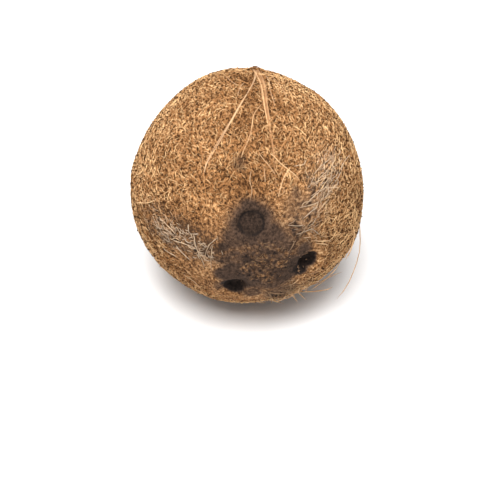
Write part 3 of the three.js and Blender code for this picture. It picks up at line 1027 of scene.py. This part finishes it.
def shared_material(name, settings):
    """The coconut's two finishes: the shell's matted ground and the fibres on it."""
    made = bpy.data.materials.get(name)
    if made:
        return made
    if name == "matted_ground":
        return coir_material(name, settings, grain_size=0.5, grain_share=0.7, bump=0.3, roughness=0.95)
    return coir_material(name, settings, grain_size=2.4, grain_share=0.18, bump=0.0, roughness=0.7)


# Settings
def colour_property(name, description, default):
    return FloatVectorProperty(name=name, description=description, default=default, subtype="COLOR")


def length_property(name, description, default):
    return FloatProperty(name=name, description=description, default=default, unit="LENGTH")


class CoconutSettings(bpy.types.PropertyGroup):
    """What can be changed in the coir."""

    fibres: IntProperty(name="Felt fibres", description="Short fibres in the felt", default=64000, min=1000)
    length: length_property("Fibre length", "Usual length of a felt fibre", 0.0022)
    thickness: length_property("Fibre thickness", "Usual thickness of a felt fibre", 0.00044)
    # Dark is the coir's darkest tone, which the painted shade of deep fibres, pits and dark slots also
    # reaches
    dark: colour_property("Dark", "Coir deep in the felt", (0.048, 0.019, 0.006))
    middle: colour_property("Middle", "Coir of middling tone", (0.34, 0.158, 0.058))
    pale: colour_property("Pale", "The palest coir", (0.92, 0.6, 0.3))
    bleached: colour_property("Bleached", "Bleached coir along the corners", (0.64, 0.5, 0.36))
    stained: colour_property("Stained", "The stain round the eyes", (0.07, 0.041, 0.027))
    blackest: colour_property("Blackest", "The middle of a blind eye", (0.015, 0.01, 0.008))


class StudioSettings(bpy.types.PropertyGroup):
    """What can be changed in the studio."""

    floor: colour_property("Floor", "Colour of the floor", (0.88, 0.88, 0.88))
    key: FloatProperty(name="Key light", description="Power of the light overhead, in watts", default=30.0)
    sky: FloatProperty(name="Surrounding light", description="Strength of the light all round", default=0.45)


# The pieces
def nothing_selected():
    bpy.ops.object.select_all(action="DESELECT")


def drawn_in(even_polar):
    """Draws a sphere's even rings in towards the eye end, where the skin has the finest shapes. Degrees."""
    turning, blend = 80.0, 12.0
    near_spacing, far_gain = 0.6, 0.85

    def coarse(angle):
        return blend * np.log1p(np.exp((angle - turning) / blend))

    def spread(angle):
        return near_spacing * angle + far_gain * (coarse(angle) - coarse(0))

    return 180 * spread(even_polar) / spread(180)


def felt_relief(direction):
    """The matted ground's unevenness in millimetres: soft lumps, pits and a rough scar. Also the lumps'
    height from about -1 to 1, and the pits."""
    bare = bare_share(direction)
    in_eye = 1 - smoothstep(eye_distance(direction), 6.5, 9)
    lump = np.array([noise.fractal(Vector(place), 0.7, 2.1, 2) for place in direction * HALF_WIDTH / 1.3])
    pits = pits_at(direction)
    scar = 1 - smoothstep(polar_of(direction), 7, 13)
    relief = (0.3 * lump - 0.8 * pits) * (1 - 0.65 * bare) * (1 - 0.75 * in_eye) + 0.45 * scar * lump
    return relief, lump, pits


class COCONUT_OT_shell(bpy.types.Operator):
    """Model the shell's skin: a finely divided cube rounded out to the nut, with eyes, corners and pits"""

    bl_idname = "coconut.shell"
    bl_label = "Shell"

    def execute(self, context):
        settings = context.scene.coconut
        nothing_selected()
        bpy.ops.mesh.primitive_cube_add(size=2.0, location=(0, 0, 0))
        shell = context.object
        shell.name = shell.data.name = "coconut_shell"
        bpy.ops.object.mode_set(mode="EDIT")
        bpy.ops.mesh.select_all(action="SELECT")
        bpy.ops.mesh.subdivide(number_cuts=SHELL_CUTS)
        bpy.ops.object.mode_set(mode="OBJECT")

        mesh = shell.data
        mesh.uv_layers[0].name = "OFBake"
        count = len(mesh.vertices)
        corners = np.empty(count * 3)
        mesh.vertices.foreach_get("co", corners)
        cube = corners.reshape(-1, 3)
        even = unit(np.tan(cube * math.pi / 4))
        direction = direction_at(drawn_in(polar_of(even)), turn_of(even))
        relief, lump, pits = felt_relief(direction)
        points = in_place(on_skin(direction, relief))
        mesh.vertices.foreach_set("co", points.ravel())

        bare = bare_share(direction)
        # Painted shade: the ground is darker in its pits
        tone = 0.3 + 0.12 * lump - 0.5 * pits + 0.08 * bare + tone_and_painted_shade_at(direction)
        tone += 0.12 * knot_rise(direction) + 0.14 * rim_share(direction)
        # Dirt and painted shade darken the torn pits along the seams
        stain = stain_at(direction) + 0.7 * pits * frayed_share(direction)
        look = look_of(tone, stain, 0.25 * bleach_at(direction))
        finish_mesh(mesh, look, shared_material("matted_ground", settings))
        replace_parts(set_on_coconut(shell), NODE)
        return {"FINISHED"}


class COCONUT_OT_felt(bpy.types.Operator):
    """Lay the felt of short curly fibres over the shell, as one piece for each side of the nut"""

    bl_idname = "coconut.felt"
    bl_label = "Coir felt"

    def execute(self, context):
        settings = context.scene.coconut
        material = shared_material("coir_fibre", settings)
        rng = np.random.default_rng(FELT_SEED)
        paths, radii, look = felt(rng, settings.fibres, settings.length / MM, settings.thickness / MM)
        turn = turn_of(paths[:, 2]) + 45
        for side, name in enumerate(("top", "right", "under", "left")):
            mine = (turn // 90).astype(int) % 4 == side
            fibre_piece(f"coir_felt_{name}", paths[mine], radii[mine], look[mine], material)
        return {"FINISHED"}


class COCONUT_OT_strands(bpy.types.Operator):
    """Lay the strands: down from the crown knot, round the tip, and scattered between"""

    bl_idname = "coconut.strands"
    bl_label = "Strands"

    def execute(self, context):
        material = shared_material("coir_fibre", context.scene.coconut)
        rng = np.random.default_rng(STRAND_SEED)
        # Routes, plies and how far apart they lie, thickness, tone, and bleach, or None for the skin's own
        groups = (
            ([LEFT_STRAND], 3, 0.24, 0.56, 0.6, 0.25),
            ([MIDDLE_STRAND], 1, 0.1, 0.66, 0.62, 0.25),
            (CROWN_STRANDS, 2, 0.28, 0.34, 0.56, None),
            (HOOKS, 1, 0.1, 0.6, 0.64, 0.2),
            ([SIDE_STRAND], 2, 0.2, 0.42, 0.6, None),
            (tip_routes(), 3, 0.34, 0.5, 0.5, None),
            (FINE_STRANDS, 1, 0.1, 0.42, 0.62, 0.25),
            (scattered(**LONG_FIBRES), 2, 0.25, 0.36, 0.52, None),
            (scattered(**SHORT_FIBRES), 2, 0.22, 0.34, 0.52, None),
        )
        line = strand_line(BAND_STRAND, 2 * STRAND_PLACES)
        band = ribbon(rng, line, BAND_REACHES, BAND_WIDTH, STRAND_PLACES)
        band = band - BAND_SINK * np.linspace(0, 1, STRAND_PLACES)[:, None] * unit(band)
        paths, radii = [band], [taper(band, BAND_THICKNESS, rng)]
        look = [strand_looks(band, 0.52, rng, bleach=0.15, uneven=0.09)]
        for routes, plies, spread, thickness, tone, bleach in groups:
            lines = (strand_line(route, STRAND_PLACES) for route in routes)
            fibres = np.concatenate([plied(rng, line, plies, spread) for line in lines])
            paths.append(fibres)
            radii.append(taper(fibres, thickness, rng))
            look.append(strand_looks(fibres, tone, rng, bleach, uneven=0.03))
        fibre_piece("coir_strands", *map(np.concatenate, (paths, radii, look)), material, sides=5)
        return {"FINISHED"}


def joined_hairs(rng, routes, plies, spread, wander):
    """Plied hairs along the routes, given as (route, how far its end stands clear of the skin)."""
    lines = [strand_line(route, HAIR_PLACES, lift) for route, lift in routes]
    return np.concatenate([plied(rng, line, plies, spread, wander) for line in lines])


class COCONUT_OT_frayed(bpy.types.Operator):
    """Add the loose hairs: frayed along the corners and at the crown, and a few that hang free"""

    bl_idname = "coconut.frayed"
    bl_label = "Frayed hairs"

    def execute(self, context):
        material = shared_material("coir_fibre", context.scene.coconut)
        rng = np.random.default_rng(HAIR_SEED)
        corner_routes = [(route, 0.3) for route in CORNER_STRANDS] + [(route, 1.4) for route in LEFT_FRAYED]
        tails = joined_hairs(rng, [(route, TAIL_LIFT) for route in LOWER_FRAYED], 3, 0.3, 0.25)
        corner = joined_hairs(rng, corner_routes + CORNER_HAIRS, 2, 0.16, 0.08)
        parts = [
            (tails, strand_looks(tails, 0.7, rng, bleach=0.2), TAIL_THICKNESS),
            (corner, strand_looks(corner, 0.76, rng, bleach=0.75), CORNER_THICKNESS),
        ]
        for middle, spread, heading, length, lift, count, bleach in TUFTS:
            hairs = brushed_hairs(rng, count, middle, spread, heading, length, lift)
            parts.append((hairs, strand_looks(hairs, 0.62, rng, bleach, uneven=0.14), TUFT_THICKNESS))
        free = []
        for hair in FREE_HAIRS:
            polar, turn, lift = np.array(hair, float).T
            line = smooth_line(on_skin(direction_at(polar, turn), lift), HAIR_PLACES)
            free.append(plied(rng, line, 2, 0.14, 0.05))
        free = np.concatenate(free)
        parts.append((free, strand_looks(free, 0.68, rng, bleach=0.2), FREE_THICKNESS))
        for middle, spread, count in CRUMBS:
            crumbs = brushed_hairs(rng, count, middle, spread, (0, 60), (0.4, 0.8), (0, 0.1))
            look = look_of(rng.uniform(0.2, 0.55, (count, 1)), np.zeros((count, HAIR_PLACES)), 0.3)
            parts.append((crumbs, look, TUFT_THICKNESS))
        paths, looks, thick = zip(*parts)
        radii = [taper(each, size, rng) for each, size in zip(paths, thick)]
        fibre_piece("coir_frayed_hairs", *map(np.concatenate, (paths, radii, looks)), material)
        return {"FINISHED"}


def add_floor(settings):
    """A wide pale floor."""
    nothing_selected()
    bpy.ops.mesh.primitive_circle_add(vertices=96, radius=6.0, fill_type="NGON", location=(0, 0, 0))
    floor = bpy.context.object
    floor.name = floor.data.name = "floor"
    material = bpy.data.materials.new("pale_floor")
    material.use_nodes = True
    shader = material.node_tree.nodes["Principled BSDF"]
    shader.inputs["Base Color"].default_value = (*settings.floor, 1)
    shader.inputs["Roughness"].default_value = 0.9
    shader.inputs["Specular IOR Level"].default_value = 0.1
    floor.data.materials.append(material)


def add_light(name, power, size, place):
    """A soft square light that faces the nut."""
    light = bpy.data.lights.new(name, "AREA")
    light.energy, light.size = power, size
    lamp = bpy.data.objects.new(name, light)
    lamp.location = place
    aim = Vector((NUT_CENTRE * MM).tolist()) - Vector(place)
    lamp.rotation_euler = aim.to_track_quat("-Z", "Y").to_euler()
    bpy.context.scene.collection.objects.link(lamp)


def backward(azimuth, elevation):
    """From the nut towards a viewer at this azimuth and elevation, in degrees."""
    turn, rise = math.radians(azimuth), math.radians(elevation)
    return Vector((math.sin(turn) * math.cos(rise), -math.cos(turn) * math.cos(rise), math.sin(rise)))


def add_camera():
    """The photograph's view: down on the eye end, with the nut a little above the middle of the picture."""
    lens = bpy.data.cameras.new("camera")
    lens.lens, lens.sensor_width = CAMERA_LENS, SENSOR_WIDTH
    lens.clip_start, lens.clip_end = 0.05, 50.0
    camera = bpy.data.objects.new("camera", lens)
    camera.location = Vector((NUT_CENTRE * MM).tolist()) + CAMERA_DISTANCE * backward(*CAMERA_FROM)
    camera.rotation_euler = backward(*CAMERA_AIM).to_track_quat("Z", "Y").to_euler()
    bpy.context.scene.collection.objects.link(camera)
    bpy.context.scene.camera = camera


class COCONUT_OT_studio(bpy.types.Operator):
    """Set up the pale floor, the soft light from overhead and the camera"""

    bl_idname = "coconut.studio"
    bl_label = "Studio"

    def execute(self, context):
        settings = context.scene.studio
        add_floor(settings)
        add_light("overhead", settings.key, LAMP_SIZE, LAMP_PLACE)
        world = bpy.data.worlds.new("surround")
        context.scene.world = world
        world.use_nodes = True
        background = world.node_tree.nodes["Background"]
        background.inputs["Color"].default_value = (1, 1, 1, 1)
        background.inputs["Strength"].default_value = settings.sky
        context.scene.view_settings.view_transform = "Standard"
        add_camera()
        return {"FINISHED"}


class COCONUT_PT_panel(bpy.types.Panel):
    """The coconut's pieces in the order in which they are made"""

    bl_label = "Coconut"
    bl_idname = "COCONUT_PT_panel"
    bl_space_type = "VIEW_3D"
    bl_region_type = "UI"
    bl_category = "Coconut"

    def draw(self, context):
        for settings in (context.scene.coconut, context.scene.studio):
            for name in settings.__annotations__:
                self.layout.prop(settings, name)
        for operator in OPERATORS:
            self.layout.operator(operator.bl_idname)


OPERATORS = (COCONUT_OT_shell, COCONUT_OT_felt, COCONUT_OT_strands, COCONUT_OT_frayed, COCONUT_OT_studio)
CLASSES = (CoconutSettings, StudioSettings, *OPERATORS, COCONUT_PT_panel)


def register():
    for each in CLASSES:
        bpy.utils.register_class(each)
    bpy.types.Scene.coconut = PointerProperty(type=CoconutSettings)
    bpy.types.Scene.studio = PointerProperty(type=StudioSettings)


def unregister():
    del bpy.types.Scene.coconut
    del bpy.types.Scene.studio
    for each in reversed(CLASSES):
        bpy.utils.unregister_class(each)


def main():
    register()
    bpy.ops.coconut.shell()
    bpy.ops.coconut.felt()
    bpy.ops.coconut.strands()
    bpy.ops.coconut.frayed()
    bpy.ops.coconut.studio()


if __name__ == "__main__":
    main()
